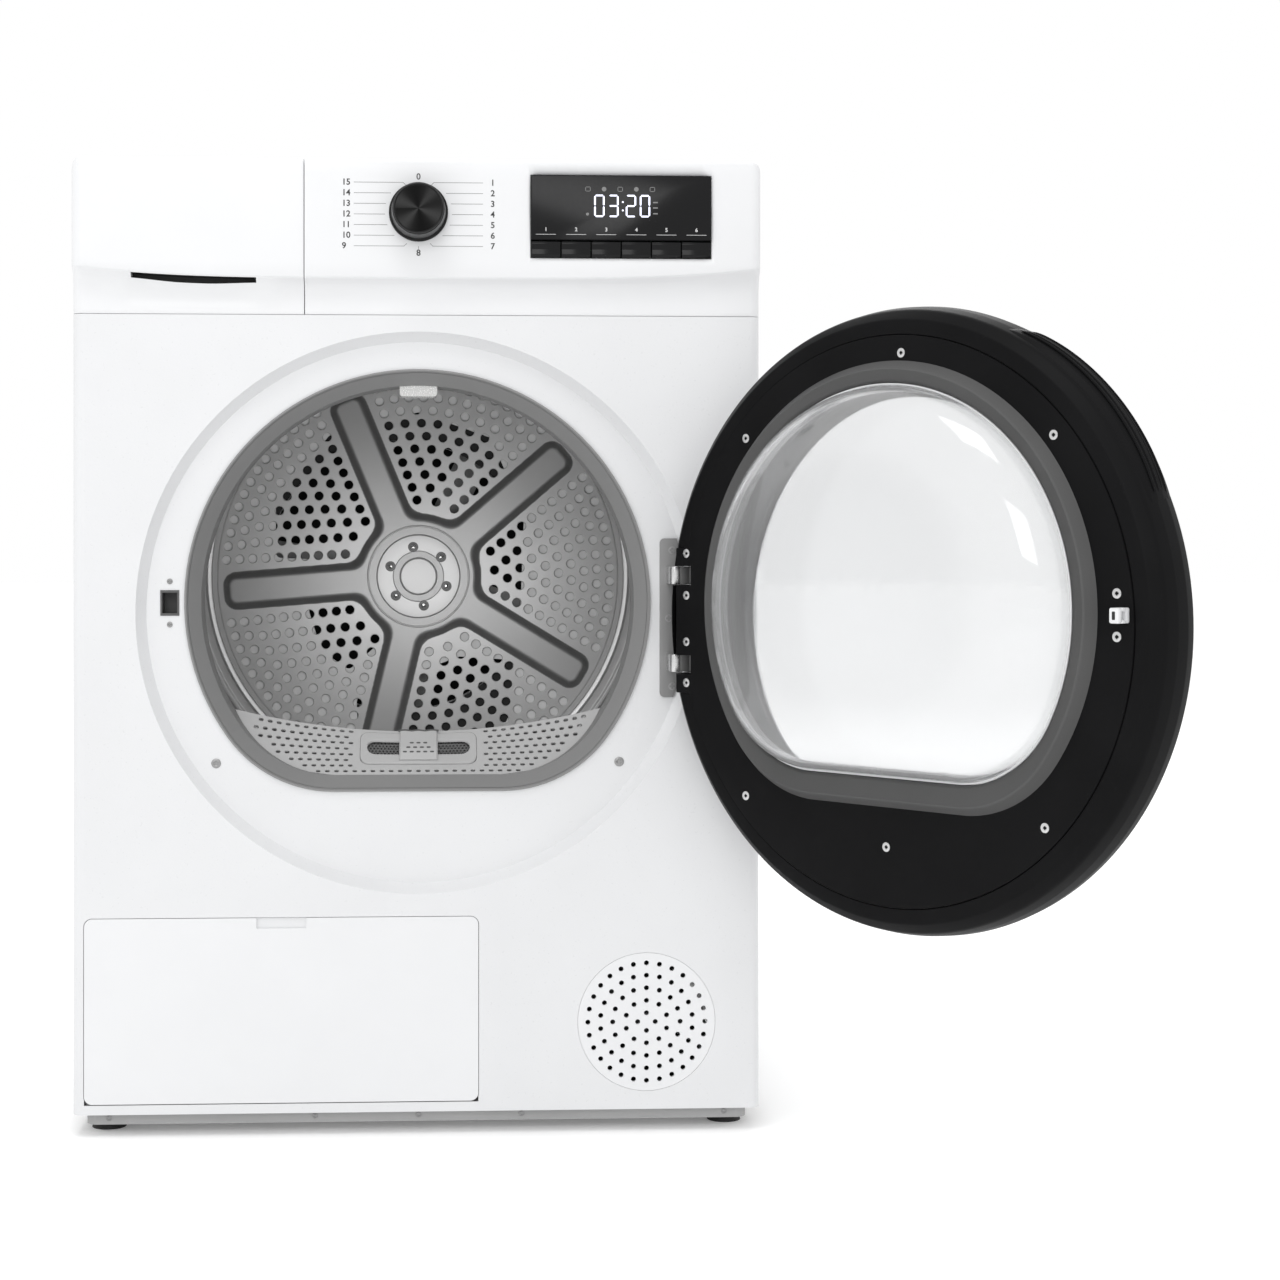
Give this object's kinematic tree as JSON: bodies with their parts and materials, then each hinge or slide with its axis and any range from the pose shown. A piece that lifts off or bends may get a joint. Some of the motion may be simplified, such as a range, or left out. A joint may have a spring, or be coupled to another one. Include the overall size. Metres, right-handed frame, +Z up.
{
  "type": "clothes dryer",
  "caption": "Free-standing heat pump clothes dryer with a round glass door on the right, a drum, a water tank drawer, a programme knob, a display and a service flap.",
  "frame": {"origin": "centre of the cabinet's footprint, on the floor that the feet stand on", "axes": "+Z up, +Y from the front into the machine, +X to the right when facing the front"},
  "size_m": [0.8508, 1.0025, 0.845],
  "materials": {
    "white_steel": "semi-gloss",
    "white_laminate": "satin",
    "white_plastic": "semi-gloss",
    "black_plastic": "satin",
    "black_gloss": "gloss",
    "bezel_grey": "satin",
    "light_grey_plastic": "satin",
    "dark_grey_plastic": "matte",
    "base_grey": "matte",
    "tank_plastic": "satin",
    "lamp_lens": "frosted",
    "drum_steel": "satin",
    "galvanised_steel": "satin",
    "hinge_steel": "satin",
    "screw_steel": "bright",
    "door_glass": "clear",
    "seal_rubber": "satin",
    "black_rubber": "matte",
    "felt": "matte",
    "fin_aluminium": "bright",
    "motor_metal": "cast",
    "compressor_steel": "semi-gloss",
    "circuit_board": "satin"
  },
  "bodies": {
    "cabinet": {"base_tray": "base_grey", "side_panel_left": "white_steel", "side_panel_right": "white_steel", "front_panel": "white_steel", "rear_panel": "galvanised_steel", "rear_duct_cover": "galvanised_steel", "worktop": "white_laminate", "control_fascia": "white_plastic", "display_window": "black_gloss", "control_board": "circuit_board", "tank_tray": "light_grey_plastic", "front_bulkhead": "bezel_grey", "outlet_grille": "light_grey_plastic", "drum_seals": "felt", "drum_lamp": "lamp_lens", "rear_bearing": "motor_metal", "motor": "motor_metal", "fan_housing": "dark_grey_plastic", "drive_belt": "black_rubber", "refrigerant_circuit": "compressor_steel", "heat_exchangers": "fin_aluminium", "exchanger_housing": "dark_grey_plastic", "condensate_pump": "dark_grey_plastic", "drain_hose": "black_rubber", "cable_gland": "black_plastic", "hinge_bracket": "hinge_steel", "latch_socket": "dark_grey_plastic", "ventilation_grille": "white_plastic", "cabinet_screws": "screw_steel"},
    "drum": {"drum_shell": "drum_steel", "drum_rear_wall": "drum_steel", "drum_lifters": "light_grey_plastic", "drum_shaft": "galvanised_steel"},
    "rotor": {"motor_rotor": "galvanised_steel", "process_fan": "dark_grey_plastic"},
    "idler": {"idler_pulley": "dark_grey_plastic"},
    "door": {"door_ring": "black_plastic", "door_inner_cover": "black_plastic", "door_bowl": "door_glass", "door_window": "door_glass", "door_seal": "seal_rubber", "door_striker": "light_grey_plastic", "door_screws": "screw_steel", "hinge_pins": "screw_steel"},
    "knob": {"program_knob": "black_gloss"},
    "tank": {"tank_front": "white_plastic", "tank_body": "tank_plastic"},
    "filter": {"lint_filter": "light_grey_plastic"},
    "flap": {"service_flap": "white_plastic"},
    "vent_fan": {"cooling_fan": "dark_grey_plastic"},
    "button_1": {"button_1": "black_gloss"},
    "button_2": {"button_2": "black_gloss"},
    "button_3": {"button_3": "black_gloss"},
    "button_4": {"button_4": "black_gloss"},
    "button_5": {"button_5": "black_gloss"},
    "button_6": {"button_6": "black_gloss"},
    "foot_front_left": {"foot_front_left": "black_rubber"},
    "foot_front_right": {"foot_front_right": "black_rubber"},
    "foot_rear_left": {"foot_rear_left": "black_rubber"},
    "foot_rear_right": {"foot_rear_right": "black_rubber"}
  },
  "joints": [
    {"name": "door_swing", "type": "hinge", "parent": "cabinet", "child": "door", "pos_m": [0.236, -0.321, 0.4476], "axis": [0, 0, 1], "range_deg": [-129.4, 18]},
    {"name": "drum_spin", "type": "hinge", "parent": "cabinet", "child": "drum", "pos_m": [0, 0, 0.478], "axis": [0, 1, 0], "continuous": true},
    {"name": "rotor_spin", "type": "hinge", "parent": "cabinet", "child": "rotor", "pos_m": [0.185, 0, 0.14], "axis": [0, 1, 0], "continuous": true},
    {"name": "idler_spin", "type": "hinge", "parent": "cabinet", "child": "idler", "pos_m": [0.07941, -0.02, 0.14168], "axis": [0, 1, 0], "continuous": true},
    {"name": "knob_turn", "type": "hinge", "parent": "cabinet", "child": "knob", "pos_m": [0, -0.31, 0.799], "axis": [0, 1, 0], "continuous": true},
    {"name": "button_1_press", "type": "slide", "parent": "cabinet", "child": "button_1", "axis": [0, 1, 0], "range_m": [0, 0.0015], "stiffness_N_per_m": 400, "springref_m": -0.001},
    {"name": "button_2_press", "type": "slide", "parent": "cabinet", "child": "button_2", "axis": [0, 1, 0], "range_m": [0, 0.0015], "stiffness_N_per_m": 400, "springref_m": -0.001},
    {"name": "button_3_press", "type": "slide", "parent": "cabinet", "child": "button_3", "axis": [0, 1, 0], "range_m": [0, 0.0015], "stiffness_N_per_m": 400, "springref_m": -0.001},
    {"name": "button_4_press", "type": "slide", "parent": "cabinet", "child": "button_4", "axis": [0, 1, 0], "range_m": [0, 0.0015], "stiffness_N_per_m": 400, "springref_m": -0.001},
    {"name": "button_5_press", "type": "slide", "parent": "cabinet", "child": "button_5", "axis": [0, 1, 0], "range_m": [0, 0.0015], "stiffness_N_per_m": 400, "springref_m": -0.001},
    {"name": "button_6_press", "type": "slide", "parent": "cabinet", "child": "button_6", "axis": [0, 1, 0], "range_m": [0, 0.0015], "stiffness_N_per_m": 400, "springref_m": -0.001},
    {"name": "tank_pull", "type": "slide", "parent": "cabinet", "child": "tank", "axis": [0, -1, 0], "range_m": [0, 0.4]},
    {"name": "filter_lift", "type": "slide", "parent": "cabinet", "child": "filter", "axis": [0, 0, 1], "range_m": [0, 0.018]},
    {"name": "flap_open", "type": "hinge", "parent": "cabinet", "child": "flap", "pos_m": [-0.118, -0.2985, 0.032], "axis": [1, 0, 0], "range_deg": [0, 90]},
    {"name": "foot_front_left_screw", "type": "slide", "parent": "cabinet", "child": "foot_front_left", "axis": [0, 0, -1], "range_m": [0, 0.012]},
    {"name": "foot_front_right_screw", "type": "slide", "parent": "cabinet", "child": "foot_front_right", "axis": [0, 0, -1], "range_m": [0, 0.012]},
    {"name": "foot_rear_left_screw", "type": "slide", "parent": "cabinet", "child": "foot_rear_left", "axis": [0, 0, -1], "range_m": [0, 0.012]},
    {"name": "foot_rear_right_screw", "type": "slide", "parent": "cabinet", "child": "foot_rear_right", "axis": [0, 0, -1], "range_m": [0, 0.012]},
    {"name": "vent_fan_spin", "type": "hinge", "parent": "cabinet", "child": "vent_fan", "pos_m": [0.1986, -0.273, 0.096], "axis": [0, 1, 0], "continuous": true}
  ],
  "couplings": [
    {"joint": "rotor_spin", "follows": "drum_spin", "ratio": 31.667},
    {"joint": "idler_spin", "follows": "drum_spin", "ratio": -19}
  ]
}
